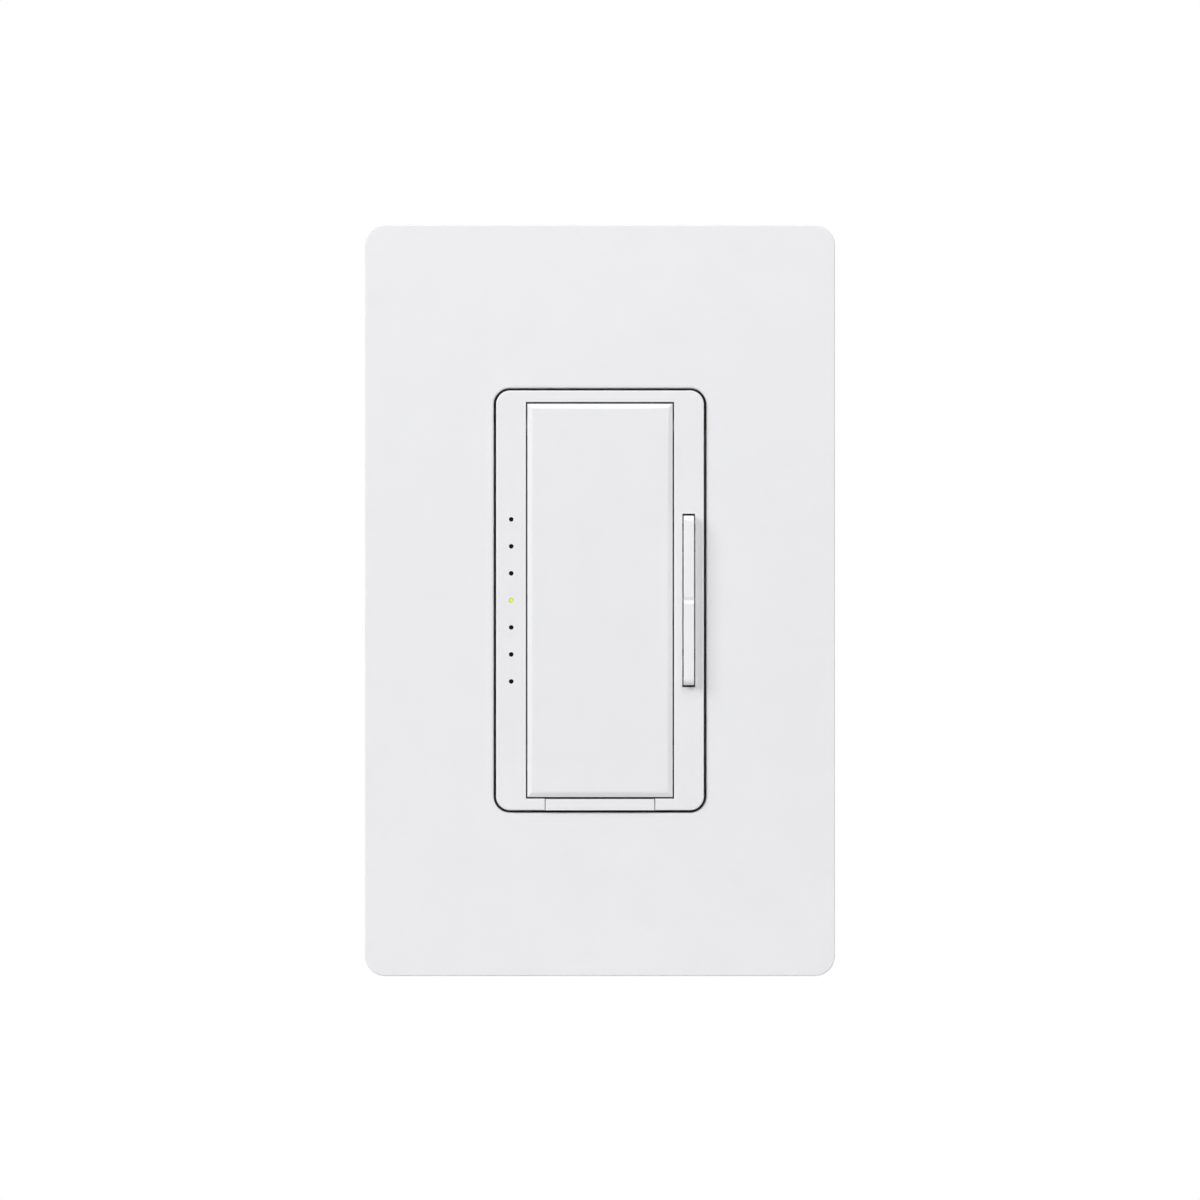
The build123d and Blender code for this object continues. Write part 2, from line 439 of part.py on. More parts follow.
def yoke_side_cuts(side, across):
    """What one side of the yoke loses: the fin's break line and windows, and the screw and stake holes."""
    line_x = side * FIN_LINE_X
    cuts = Pos(line_x, 0, 0) * Rot(0, 0, 45) * Box(FIN_GROOVE, FIN_GROOVE, YOKE_BODY_HEIGHT + 2)
    for z in FIN_SLOTS_Z:
        cuts += slab(FIN_SLOT_WIDTH, FIN_SLOT_LENGTH, FIN_SLOT_WIDTH / 2 - 0.05, across, line_x, z)
    for side_z in SIDES:
        cuts += rod(HOUSING_SCREW_R + 0.08, side * HOUSING_SCREW_X, side_z * HOUSING_SCREW_Z, across)
        cuts += rod(STAKE_R + 0.1, side * RAIL_X, side_z * POST_Z, across)
        window_x, window_z = side * FIN_WINDOW_X, side_z * FIN_WINDOW_Z
        cuts += slab(FIN_WINDOW_WIDTH, FIN_WINDOW_LENGTH, 1.0, across, window_x, window_z)
    return cuts


def box_screws():
    """The two captive screws for the wall box: a thin neck inside the yoke, then the full thread."""
    thread_start = RETAINER_THICK + 0.05
    screws = []
    for side in SIDES:
        z = side * BOX_SCREW_SPACING / 2
        screw = screw_along_y(0, z, YOKE_Y, thread_start, BOX_HEAD_R, BOX_HEAD_THICK, BOX_SCREW_NECK_R, -1)
        thread = rod(BOX_SCREW_R, 0, z, (thread_start, BOX_SCREW_LENGTH))
        screws.append(screw + chamfer(thread.edges().group_by(Axis.Y)[-1], 0.5))
    return Compound(children=screws)


def box_screw_retainers():
    """The fibre squares that keep the wall-box screws from falling out."""
    across = (0, RETAINER_THICK)
    squares = []
    for side in SIDES:
        z = side * BOX_SCREW_SPACING / 2
        square = slab(RETAINER_SIZE, RETAINER_SIZE, 0.8, across, 0, z)
        squares.append(square - rod(BOX_SCREW_NECK_R + 0.02, 0, z, across))
    return Compound(children=squares)


def ground_screw():
    """The hexagonal ground screw on the yoke's back."""
    washer_top = GROUND_WASHER_Y[1]
    hexagon = Plane.XZ.offset(-GROUND_HEAD_TOP) * Pos(GROUND_X, GROUND_Z) * RegularPolygon(GROUND_HEX_R, 6)
    head = extrude(hexagon, GROUND_HEAD_TOP - washer_top)
    head += rod(GROUND_WASHER_R, GROUND_X, GROUND_Z, GROUND_WASHER_Y)
    slot_y = (GROUND_HEAD_TOP - 1.0, GROUND_HEAD_TOP)
    slot = block(around(GROUND_X, GROUND_WASHER_R), slot_y, around(GROUND_Z, 0.5))
    return head - slot + rod(GROUND_HOLE_R - 0.05, GROUND_X, GROUND_Z, (YOKE_Y + 0.1, GROUND_WASHER_Y[0]))


def ground_cup():
    """The square washer that traps the ground wire under its screw."""
    across = (0, GROUND_WASHER_Y[0] - 0.1)
    cup = slab(GROUND_CUP_SIZE, GROUND_CUP_SIZE, 0.6, across, GROUND_X, GROUND_Z)
    return cup - rod(GROUND_HOLE_R + 0.15, GROUND_X, GROUND_Z, across)


# ---- Control board -------------------------------------------------------------------------------

# Each tactile switch: the X and Z of its middle, half its case's width, and its plunger's radius
SWITCHES = {"tap": (0.0, TAP_POST_Z, 3.0, 1.6), "raise": (RAIL_X, ROCKER_LEG_Z, 2.25, 1.0),
            "lower": (RAIL_X, -ROCKER_LEG_Z, 2.25, 1.0)}
SWITCH_FRONT, SWITCH_FLOOR, PLUNGER_BACK = 1.0, 0.25, 0.8
CONTROL_WIDTH, CONTROL_HEIGHT, CONTROL_Z = 38.8, 37.2, -1.6
SHEET_WIDTH, SHEET_HEIGHT, SHEET_Z, SHEET_Y = 40.0, 38.6, -2.2, (0.02, 0.3)
HEADER_PITCH, HEADER_Z, HEADER_PIN_R, HEADER_WIDTH, HEADER_THICK = 2.54, -17.6, 0.4, 15.8, 2.5
HEADER_X = [(index - 2.5) * HEADER_PITCH for index in range(6)]
LAMP_HALF_WIDTH, LAMP_HALF_HEIGHT, LAMP_BASE, LAMP_LENS, LENS_HALF_WIDTH = 0.8, 0.45, 0.4, 0.5, 0.5
CHIP_X, CHIP_Z, CHIP_WIDTH, CHIP_HEIGHT, CHIP_THICK = -7.0, 2.0, 7.5, 12.8, 2.2
CHIP_LEGS, CHIP_PITCH, CHIP_LEG_REACH, CHIP_LEG_HALF, CHIP_LEG_THICK = 10, 1.27, 1.35, 0.2, 0.3
PASSIVES = [(2.5, 13.0), (5.5, 13.0), (8.5, 13.0), (2.5, -9.0), (5.5, -9.0), (8.5, -9.0), (-12.0, 12.5),
            (-15.0, -9.0), (14.0, 0.0)]
PASSIVE_WIDTH, PASSIVE_HEIGHT, PASSIVE_THICK = 1.3, 2.0, 0.8
STANDOFF_R, STANDOFF_NECK_R = 2.0, 1.15


def insulator_sheet():
    """The thin sheet that keeps the control board off the yoke."""
    sheet = slab(SHEET_WIDTH, SHEET_HEIGHT, 1.0, SHEET_Y, 0, SHEET_Z)
    spine_x, spine_z = LIGHT_SPINE_HALF
    sheet -= slab(2 * spine_x + 0.6, 2 * spine_z - 0.2, 0.6, SHEET_Y, -RAIL_X, 0)
    for x, z, _, radius in SWITCHES.values():
        sheet -= slab(2 * radius + 1.4, 2 * radius + 2.6, 0.6, SHEET_Y, x, z)
    return sheet


def board_holes(across):
    """The holes that both boards have, for the standoffs' necks and the header's pins."""
    holes = [rod(STANDOFF_NECK_R + 0.1, x, z, across) for x, z in STANDOFFS]
    return holes + [rod(HEADER_PIN_R + 0.1, x, HEADER_Z, across) for x in HEADER_X]


def control_board():
    """The front circuit board, which carries the switches, lamps and controller."""
    across = (CONTROL_Y, CONTROL_BACK)
    board = slab(CONTROL_WIDTH, CONTROL_HEIGHT, 1.0, across, 0, CONTROL_Z)
    return board - board_holes(across)


def switch_body(name):
    """The square case of one tactile switch, with a blind hole for its plunger."""
    x, z, half, radius = SWITCHES[name]
    case = block(around(x, half), (SWITCH_FRONT, CONTROL_Y), around(z, half))
    case = chamfer(case.edges().filter_by(Axis.Y), 0.3)
    return case - rod(radius + 0.06, x, z, (SWITCH_FRONT, CONTROL_Y - SWITCH_FLOOR))


def switch_plunger(name):
    """The plunger of one tactile switch, which the paddle's post or a rocker leg pushes."""
    x, z, _, radius = SWITCHES[name]
    plunger = rod(radius, x, z, (CONTACT_TIP_Y + PLUNGER_GAP, CONTROL_Y - PLUNGER_BACK))
    return chamfer(plunger.edges().group_by(Axis.Y)[0], 0.12)


def status_lamp(z):
    """One surface-mounted lamp, its lens towards the light pipe."""
    base_y = (CONTROL_Y - LAMP_BASE, CONTROL_Y)
    base = block(around(-RAIL_X, LAMP_HALF_WIDTH), base_y, around(z, LAMP_HALF_HEIGHT))
    lens_y = (base_y[0] - LAMP_LENS, base_y[0])
    return base + block(around(-RAIL_X, LENS_HALF_WIDTH), lens_y, around(z, LAMP_HALF_HEIGHT - 0.05))


def status_lamp_lit():
    """The lamp that is on: the middle one."""
    return status_lamp(0)


def status_lamps_unlit():
    """The six lamps that are off."""
    return Compound(children=[status_lamp(z) for z in light_positions() if abs(z) > LIGHT_PITCH / 2])


def microcontroller():
    """The controller chip with its two rows of legs."""
    chip_y = (CONTROL_BACK + 0.15, CONTROL_BACK + CHIP_THICK)
    chip = block(around(CHIP_X, CHIP_WIDTH / 2), chip_y, around(CHIP_Z, CHIP_HEIGHT / 2))
    for side in SIDES:
        edge = CHIP_X + side * CHIP_WIDTH / 2
        foot = sorted((edge - side * 0.05, edge + side * CHIP_LEG_REACH))
        for index in range(CHIP_LEGS):
            leg_z = CHIP_Z + (index - (CHIP_LEGS - 1) / 2) * CHIP_PITCH
            chip += block(foot, (CONTROL_BACK, CONTROL_BACK + CHIP_LEG_THICK), around(leg_z, CHIP_LEG_HALF))
    return chip


def control_passives():
    """Small surface-mounted parts on the back of the control board."""
    across = (CONTROL_BACK, CONTROL_BACK + PASSIVE_THICK)
    return Compound(children=[block(around(x, PASSIVE_WIDTH / 2), across, around(z, PASSIVE_HEIGHT / 2))
                              for x, z in PASSIVES])


def board_header():
    """The plastic strip of the connector between the boards."""
    across = (CONTROL_BACK, CONTROL_BACK + HEADER_THICK)
    strip = block(around(0, HEADER_WIDTH / 2), across, around(HEADER_Z, HEADER_THICK / 2))
    return strip - [rod(HEADER_PIN_R + 0.05, x, HEADER_Z, across) for x in HEADER_X]


def board_header_pins():
    """The six pins of the connector between the boards."""
    across = (CONTROL_Y - 0.8, POWER_BACK + 0.8)
    return Compound(children=[rod(HEADER_PIN_R, x, HEADER_Z, across) for x in HEADER_X])


def board_standoffs():
    """Four stepped nylon posts that hold both boards off the yoke."""
    posts = []
    for x, z in STANDOFFS:
        post = rod(STANDOFF_R, x, z, (SHEET_Y[1] + 0.02, CONTROL_Y))
        post += rod(STANDOFF_R, x, z, (CONTROL_BACK, POWER_Y))
        post += rod(STANDOFF_NECK_R, x, z, (CONTROL_Y, CONTROL_BACK))
        posts.append(post + rod(STANDOFF_NECK_R, x, z, (POWER_Y, POWER_BACK + 0.9)))
    return Compound(children=posts)


# ---- Power board ---------------------------------------------------------------------------------

POWER_WIDTH, POWER_HEIGHT = 40.0, 64.6
TRIAC_HALF_WIDTH, TRIAC_TAB_Y, TRIAC_TAB_Z = 5.1, (0.3, 1.6), (18.2, 33.2)
TRIAC_BODY_BACK, TRIAC_BODY_TOP = 4.8, 27.2
TRIAC_LEAD_X, TRIAC_LEAD_Z, TRIAC_LEAD_Y = (-2.54, 0.0, 2.54), 17.6, (2.6, 3.1)
TRIAC_LEAD_HALF, TRIAC_LEAD_THICK, TRIAC_LEAD_HOLE_R = 0.4, 0.5, 0.65
BUSH_R, BUSH_NECK_R, BUSH_TOP = 3.0, 1.8, 2.4
CHOKE_CENTRE_Y, CORE_OUTER_R, CORE_INNER_R, CORE_HEIGHT = 23.1, 10.0, 5.2, 7.6
CHOKE_WIRE_R, CHOKE_TURNS, CHOKE_WOUND_ANGLE = 0.5, 16, 300.0
FILM_HALF_WIDTH, FILM_FRONT, FILM_Z = 9.0, 5.4, (20.4, 29.4)
CAN_X, CAN_Z, CAN_R, CAN_FRONT, CAN_NECK = 9.5, 4.0, 4.0, 6.8, (1.6, 2.4)
VARISTOR_X, VARISTOR_Z, VARISTOR_R, VARISTOR_THICK = 9.0, -9.5, 5.0, 3.6
FUSE_Z, FUSE_R, FUSE_LENGTH = 24.0, 1.6, 9.0
RESISTOR_X, RESISTORS_Z, RESISTOR_R, RESISTOR_LENGTH = -4.0, (-21.0, -26.0), 1.4, 8.0
TERMINAL_LEG_X, TERMINAL_LEG_THICK, TERMINAL_LEG_HALF = 16.8, 0.8, 1.7


def power_board():
    """The rear circuit board, cut away round the housing's bosses and slotted for the terminal legs."""
    across = (POWER_Y, POWER_BACK)
    board = slab(POWER_WIDTH, POWER_HEIGHT, 1.5, across) - board_holes(across)
    for side in SIDES:
        for side_z in SIDES:
            board -= rod(BOSS_R + 0.4, side * HOUSING_SCREW_X, side_z * HOUSING_SCREW_Z, across)
    for x in TRIAC_LEAD_X:
        board -= rod(TRIAC_LEAD_HOLE_R, x, TRIAC_LEAD_Z, across)
    for side, z in TERMINALS.values():
        leg_x = around(side * TERMINAL_LEG_X, TERMINAL_LEG_THICK / 2 + 0.2)
        board -= block(leg_x, across, around(z, TERMINAL_LEG_HALF + 0.2))
    for tail_x, tail_z in ((STRIP_X, STRIP_TAIL_Z), (BRACKET_X, BRACKET_TAIL_Z)):
        board -= block(around(tail_x, STRIP_THICK / 2 + 0.15), across, around(sum(tail_z) / 2, 1.05))
    return board


def triac():
    """The power switch: a metal tab with a hole and a moulded body."""
    width = around(0, TRIAC_HALF_WIDTH)
    tab = block(width, TRIAC_TAB_Y, TRIAC_TAB_Z) - rod(BUSH_NECK_R + 0.1, 0, TRIAC_HOLE_Z, TRIAC_TAB_Y)
    return tab + block(width, (TRIAC_TAB_Y[1], TRIAC_BODY_BACK), (TRIAC_TAB_Z[0], TRIAC_BODY_TOP))


def triac_leads():
    """The three leads, bent back from the triac to the power board."""
    across_z = around(TRIAC_LEAD_Z, TRIAC_LEAD_THICK / 2)
    leads = []
    for x in TRIAC_LEAD_X:
        width = around(x, TRIAC_LEAD_HALF)
        stub = block(width, TRIAC_LEAD_Y, (across_z[0], TRIAC_TAB_Z[0]))
        leads.append(stub + block(width, (TRIAC_LEAD_Y[1], POWER_BACK + 0.6), across_z))
    return Compound(children=leads)


def triac_pad():
    """The insulating pad between the triac and the yoke."""
    across = (0, TRIAC_TAB_Y[0])
    pad = block(around(0, TRIAC_HALF_WIDTH + 0.9), across, (TRIAC_TAB_Z[0] - 0.4, TRIAC_TAB_Z[1] + 0.1))
    return pad - rod(BUSH_NECK_R + 0.1, 0, TRIAC_HOLE_Z, across)


def triac_bush():
    """The shoulder washer that insulates the triac's screw."""
    neck = (TRIAC_TAB_Y[0] + 0.05, TRIAC_TAB_Y[1])
    washer = rod(BUSH_R, 0, TRIAC_HOLE_Z, (neck[1], BUSH_TOP)) + rod(BUSH_NECK_R, 0, TRIAC_HOLE_Z, neck)
    return washer - rod(HOUSING_SCREW_R + 0.05, 0, TRIAC_HOLE_Z, (neck[0], BUSH_TOP))


def triac_screw():
    """The screw that clamps the triac to the yoke."""
    return screw_along_y(0, TRIAC_HOLE_Z, BUSH_TOP, YOKE_Y + 0.1, PAN_HEAD_R, PAN_HEAD_THICK, HOUSING_SCREW_R)


def choke_core():
    """The iron-powder ring of the choke."""
    across = around(CHOKE_CENTRE_Y, CORE_HEIGHT / 2)
    core = rod(CORE_OUTER_R, 0, 0, across) - rod(CORE_INNER_R, 0, 0, across)
    return fillet(core.edges().filter_by(GeomType.CIRCLE), 0.6)


def choke_winding():
    """The turns of enamelled wire round the choke's ring, each one a closed loop."""
    room = CHOKE_WIRE_R + 0.03
    middle_r = (CORE_OUTER_R + CORE_INNER_R) / 2
    width, height = CORE_OUTER_R - CORE_INNER_R + 2 * room, CORE_HEIGHT + 2 * room
    loop = Plane.XY * Pos(middle_r, CHOKE_CENTRE_Y) * RectangleRounded(width, height, 1.2).wire()
    turn = sweep(Plane(loop @ 0, z_dir=loop % 0) * Circle(CHOKE_WIRE_R), path=loop)
    step = CHOKE_WOUND_ANGLE / CHOKE_TURNS
    start = -CHOKE_WOUND_ANGLE / 2
    return Compound(children=[Rot(0, start + step * index, 0) * turn for index in range(CHOKE_TURNS)])


def film_capacitor():
    """The boxed filter capacitor."""
    case = block(around(0, FILM_HALF_WIDTH), (FILM_FRONT, POWER_Y), FILM_Z)
    return fillet(case.edges().filter_by(Axis.Y), 0.5)


def electrolytic_capacitor():
    """The supply's round capacitor, with its crimped neck."""
    can = rod(CAN_R, CAN_X, CAN_Z, (CAN_FRONT, POWER_Y))
    can = fillet(can.edges().group_by(Axis.Y)[0], 0.5)
    neck_y = (POWER_Y - CAN_NECK[1], POWER_Y - CAN_NECK[0])
    return can - (rod(CAN_R + 0.2, CAN_X, CAN_Z, neck_y) - rod(CAN_R - 0.3, CAN_X, CAN_Z, neck_y))


def varistor():
    """The disc-shaped surge arrester, standing on the board."""
    disc = cross_rod(VARISTOR_R, POWER_Y - VARISTOR_R, VARISTOR_Z, around(VARISTOR_X, VARISTOR_THICK / 2))
    return fillet(disc.edges().filter_by(GeomType.CIRCLE), VARISTOR_THICK / 3)


def axial_part(x, z, radius, length):
    """A round-ended cylinder that lies along X on the back of the power board."""
    body = cross_rod(radius, POWER_BACK + radius + 0.1, z, around(x, length / 2))
    return fillet(body.edges().filter_by(GeomType.CIRCLE), radius * 0.4)


def thermal_fuse():
    """The one-shot thermal fuse."""
    return axial_part(0, FUSE_Z, FUSE_R, FUSE_LENGTH)


def power_resistors():
    """Two power resistors."""
    return Compound(children=[axial_part(RESISTOR_X, z, RESISTOR_R, RESISTOR_LENGTH) for z in RESISTORS_Z])


# ---- Terminals and rear housing ------------------------------------------------------------------

PLATE_X, PLATE_THICK, PLATE_HALF = HOUSING_WIDTH / 2 - POCKET_DEPTH, 1.0, 4.4
CLAMP_X, CLAMP_THICK, CLAMP_HALF = 19.0, 1.0, 4.1
TERMINAL_Y, TERMINAL_SCREW_R, TERMINAL_HEAD_R, TERMINAL_HEAD_THICK = 25.4, 1.85, 3.4, 2.1
LABEL_WIDTH, LABEL_HEIGHT, LABEL_DEPTH, LABEL_MARGIN, LABEL_THICK = 24.0, 34.0, 0.3, 0.4, 0.12
GAUGE_LENGTH, GAUGE_WIDTH, GAUGE_Z, GAUGE_DEPTH = 12.7, 1.0, -24.5, 0.5
SCREW_WELL_R, SCREW_WELL_DEPTH, BOSS_START, BOSS_BORE_R = 3.0, 0.6, 0.7, 1.6
RIB_X, RIB_HEIGHT, RIB_WIDTH = 6.0, 0.4, 1.2
HOUSING_BACK = HOUSING_DEPTH - HOUSING_WALL


def terminal_plates():
    """The three brass terminal plates, each with a leg into the power board."""
    plates = []
    for side, z in TERMINALS.values():
        plate_x = sorted((side * PLATE_X, side * (PLATE_X + PLATE_THICK)))
        leg_x = around(side * TERMINAL_LEG_X, TERMINAL_LEG_THICK / 2)
        plate = block(plate_x, (POCKET_Y + 0.1, HOUSING_DEPTH - 0.8), around(z, PLATE_HALF))
        plate += block(leg_x, (POWER_Y - 0.4, POCKET_Y + 0.1), around(z, TERMINAL_LEG_HALF))
        plates.append(plate - cross_rod(TERMINAL_SCREW_R + 0.1, TERMINAL_Y, z, plate_x))
    return Compound(children=plates)


def terminal_clamps():
    """The three pressure plates under the terminal screws."""
    clamps = []
    for side, z in TERMINALS.values():
        clamp_x = sorted((side * CLAMP_X, side * (CLAMP_X + CLAMP_THICK)))
        clamp = block(clamp_x, around(TERMINAL_Y, CLAMP_HALF), around(z, CLAMP_HALF))
        clamp = chamfer(clamp.edges().filter_by(Axis.X), 0.8)
        clamps.append(clamp - cross_rod(TERMINAL_SCREW_R + 0.1, TERMINAL_Y, z, clamp_x))
    return Compound(children=clamps)


def terminal_screw(name):
    """One wire-clamping screw, along X, with a straight slot and a cross in its head."""
    side, z = TERMINALS[name]
    seat, top = CLAMP_X + CLAMP_THICK, CLAMP_X + CLAMP_THICK + TERMINAL_HEAD_THICK
    head = cross_rod(TERMINAL_HEAD_R, TERMINAL_Y, z, sorted((side * seat, side * top)))
    head = fillet(head.edges().group_by(Axis.X)[-1 if side > 0 else 0], 0.5)
    depth = sorted((side * (top - 1.1), side * (top + 0.1)))
    head -= block(depth, around(TERMINAL_Y, TERMINAL_HEAD_R + 0.2), around(z, 0.45))
    head -= block(depth, around(TERMINAL_Y, 0.45), around(z, TERMINAL_HEAD_R * 0.47))
    return head + cross_rod(TERMINAL_SCREW_R, TERMINAL_Y, z, sorted((side * (PLATE_X - 1.0), side * seat)))


def rear_housing():
    """The moulded back case with its screw bosses, terminal pockets, gauge groove and label panel."""
    case = slab(HOUSING_WIDTH, HOUSING_HEIGHT, 2.5, (0, HOUSING_DEPTH))
    case = chamfer(case.edges().group_by(Axis.Y)[-1], 1.0)
    inner_width, inner_height = HOUSING_WIDTH - 2 * HOUSING_WALL, HOUSING_HEIGHT - 2 * HOUSING_WALL
    case -= slab(inner_width, inner_height, 1.2, (0, HOUSING_BACK))
    cavity = slab(inner_width, inner_height, 1.2, (BOSS_START, HOUSING_BACK))
    for side in SIDES:
        for side_z in SIDES:
            x, z = side * HOUSING_SCREW_X, side_z * HOUSING_SCREW_Z
            case += rod(BOSS_R, x, z, (BOSS_START, HOUSING_BACK)) & cavity
            case -= rod(BOSS_BORE_R, x, z, (0, HOUSING_DEPTH))
            case -= rod(SCREW_WELL_R, x, z, (HOUSING_BACK - SCREW_WELL_DEPTH, HOUSING_DEPTH))
        for side_z in SIDES:
            rib_z = around(side_z * HOUSING_HEIGHT / 2, RIB_HEIGHT)
            case += block(around(side * RIB_X, RIB_WIDTH / 2), (2, HOUSING_DEPTH - 3), rib_z)
    for side, z in TERMINALS.values():
        case = cut_terminal_pocket(case, side, z, cavity)
    case -= slab(LABEL_WIDTH, LABEL_HEIGHT, 1.0, (HOUSING_DEPTH - LABEL_DEPTH, HOUSING_DEPTH))
    gauge_y = (HOUSING_DEPTH - GAUGE_DEPTH, HOUSING_DEPTH)
    return case - slab(GAUGE_WIDTH, GAUGE_LENGTH, GAUGE_WIDTH / 2 - 0.05, gauge_y, 0, GAUGE_Z)


def rating_label():
    """The blank label stuck in the panel on the housing's back."""
    panel_y = HOUSING_DEPTH - LABEL_DEPTH
    width, height = LABEL_WIDTH - 2 * LABEL_MARGIN, LABEL_HEIGHT - 2 * LABEL_MARGIN
    return slab(width, height, 0.8, (panel_y, panel_y + LABEL_THICK))


def cut_terminal_pocket(case, side, z, cavity):
    """The case with one pocket, open to its side and back, and the walls round that pocket."""
    outer, inner = HOUSING_WIDTH / 2 + 1, PLATE_X
    lining_x = sorted((side * (outer + 1), side * (inner - POCKET_WALL)))
    lining_y = (POCKET_Y - POCKET_WALL, HOUSING_DEPTH)
    case += block(lining_x, lining_y, around(z, POCKET_WIDTH / 2 + POCKET_WALL)) & cavity
    room_x = sorted((side * outer, side * inner))
    case -= block(room_x, (POCKET_Y, HOUSING_DEPTH + 1), around(z, POCKET_WIDTH / 2))
    case -= cross_rod(TERMINAL_SCREW_R + 0.25, TERMINAL_Y, z, lining_x)
    leg_x = around(side * TERMINAL_LEG_X, TERMINAL_LEG_THICK / 2 + 0.1)
    return case - block(leg_x, (lining_y[0], POCKET_Y), around(z, TERMINAL_LEG_HALF + 0.1))


def housing_screws():
    """Four long screws that close the housing against the yoke."""
    seat = HOUSING_BACK - SCREW_WELL_DEPTH
    return Compound(children=[
        screw_along_y(side * HOUSING_SCREW_X, side_z * HOUSING_SCREW_Z, seat, YOKE_Y + 0.2,
                      PAN_HEAD_R, PAN_HEAD_THICK, HOUSING_SCREW_R)
        for side in SIDES for side_z in SIDES])


# ---- Every node ----------------------------------------------------------------------------------

SINGLE_PARTS = [
    wallplate_cover, wallplate_adapter, adapter_screws,
    bezel, light_pipe, tap_switch, tap_return_springs, dimming_rocker, rocker_pin,
    airgap_tab, airgap_contact_arm, airgap_moving_contact, airgap_fixed_contact, airgap_fixed_strip,
    airgap_arm_bracket,
    yoke, box_screws, box_screw_retainers, ground_screw, ground_cup,
    insulator_sheet, control_board, status_lamp_lit, status_lamps_unlit, microcontroller, control_passives,
    board_header, board_header_pins, board_standoffs,
    power_board, triac, triac_leads, triac_pad, triac_bush, triac_screw, choke_core, choke_winding,
    film_capacitor, electrolytic_capacitor, varistor, thermal_fuse, power_resistors,
    terminal_plates, terminal_clamps, rear_housing, rating_label, housing_screws,
]


def all_parts():
    """Every node's name with its shape."""
    shapes = {make.__name__: make() for make in SINGLE_PARTS}
    for name in SWITCHES:
        shapes[f"{name}_switch_body"] = switch_body(name)
        shapes[f"{name}_switch_plunger"] = switch_plunger(name)
    for name in TERMINALS:
        shapes[f"{name}_terminal_screw"] = terminal_screw(name)
    return shapes


os.makedirs("parts", exist_ok=True)
for part_name, part_shape in all_parts().items():
    export_step(part_shape, f"parts/{part_name}.step")
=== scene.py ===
"""Looks for the wall dimmer: satin white front parts, metal yoke and screws, dark housing and electronics."""

import json
import math

import bmesh
import bpy
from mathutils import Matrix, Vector


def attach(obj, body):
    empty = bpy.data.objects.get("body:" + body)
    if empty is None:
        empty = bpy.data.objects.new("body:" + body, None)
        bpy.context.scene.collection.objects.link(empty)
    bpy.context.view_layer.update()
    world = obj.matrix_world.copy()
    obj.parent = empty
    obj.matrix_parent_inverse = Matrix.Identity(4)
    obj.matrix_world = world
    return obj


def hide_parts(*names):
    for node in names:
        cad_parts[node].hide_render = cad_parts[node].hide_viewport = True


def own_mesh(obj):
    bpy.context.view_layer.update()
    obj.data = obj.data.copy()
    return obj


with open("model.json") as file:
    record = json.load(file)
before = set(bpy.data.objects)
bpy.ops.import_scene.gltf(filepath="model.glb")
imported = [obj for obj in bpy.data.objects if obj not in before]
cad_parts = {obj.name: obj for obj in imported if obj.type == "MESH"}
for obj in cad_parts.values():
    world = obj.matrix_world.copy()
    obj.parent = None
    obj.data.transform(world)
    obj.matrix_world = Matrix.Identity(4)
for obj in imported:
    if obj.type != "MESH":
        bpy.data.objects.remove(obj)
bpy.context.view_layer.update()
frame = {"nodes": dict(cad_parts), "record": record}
MM = 0.001
MM_PER_M = 1000.0

# A mix node holds inputs of several types under the same names, so its sockets are picked by index.
MIX_COLOUR_FIRST, MIX_COLOUR_SECOND, MIX_COLOUR_RESULT = 6, 7, 2
MIX_SHADER_FIRST, MIX_SHADER_SECOND = 1, 2


# ---- Node-tree helpers -----------------------------------------------------------------------------------

def new_material(name, colour, roughness, metallic=0.0):
    """A material with its principled shader set up; returns the material, its node tree and the shader."""
    mat = bpy.data.materials.new(name)
    mat.use_nodes = True
    tree = mat.node_tree
    shader = tree.nodes["Principled BSDF"]
    shader.inputs["Base Color"].default_value = (*colour, 1.0)
    shader.inputs["Roughness"].default_value = roughness
    shader.inputs["Metallic"].default_value = metallic
    return mat, tree, shader


def add_node(tree, kind, **inputs):
    """A shader node with its input values set, where underscores stand for spaces in the inputs' names."""
    node = tree.nodes.new(kind)
    for key, value in inputs.items():
        node.inputs[key.replace("_", " ")].default_value = value
    return node


def object_coords(tree, scale=(1, 1, 1)):
    """The piece's own coordinates, in metres, stretched by scale."""
    coords = tree.nodes.new("ShaderNodeTexCoord")
    mapping = tree.nodes.new("ShaderNodeMapping")
    mapping.inputs["Scale"].default_value = scale
    tree.links.new(coords.outputs["Object"], mapping.inputs["Vector"])
    return mapping.outputs["Vector"]


def noise(tree, size_mm, detail=3.0, roughness=0.55, stretch=(1, 1, 1)):
    """Noise whose blobs are about size_mm across."""
    node = add_node(tree, "ShaderNodeTexNoise", Scale=MM_PER_M / size_mm, Detail=detail, Roughness=roughness)
    tree.links.new(object_coords(tree, stretch), node.inputs["Vector"])
    return node.outputs["Fac"]


def remap(tree, value, low, high, from_low=0.3, from_high=0.7):
    """A value moved from one range into another."""
    node = tree.nodes.new("ShaderNodeMapRange")
    node.inputs["From Min"].default_value = from_low
    node.inputs["From Max"].default_value = from_high
    node.inputs["To Min"].default_value = low
    node.inputs["To Max"].default_value = high
    tree.links.new(value, node.inputs["Value"])
    return node.outputs["Result"]


def blend_colours(tree, factor, first, second):
    """A colour between two others, where each is an RGB triple or a socket."""
    node = tree.nodes.new("ShaderNodeMix")
    node.data_type = "RGBA"
    tree.links.new(factor, node.inputs["Factor"])
    for index, colour in ((MIX_COLOUR_FIRST, first), (MIX_COLOUR_SECOND, second)):
        socket = node.inputs[index]
        if isinstance(colour, bpy.types.NodeSocket):
            tree.links.new(colour, socket)
        else:
            socket.default_value = (*colour, 1.0)
    return node.outputs[MIX_COLOUR_RESULT]


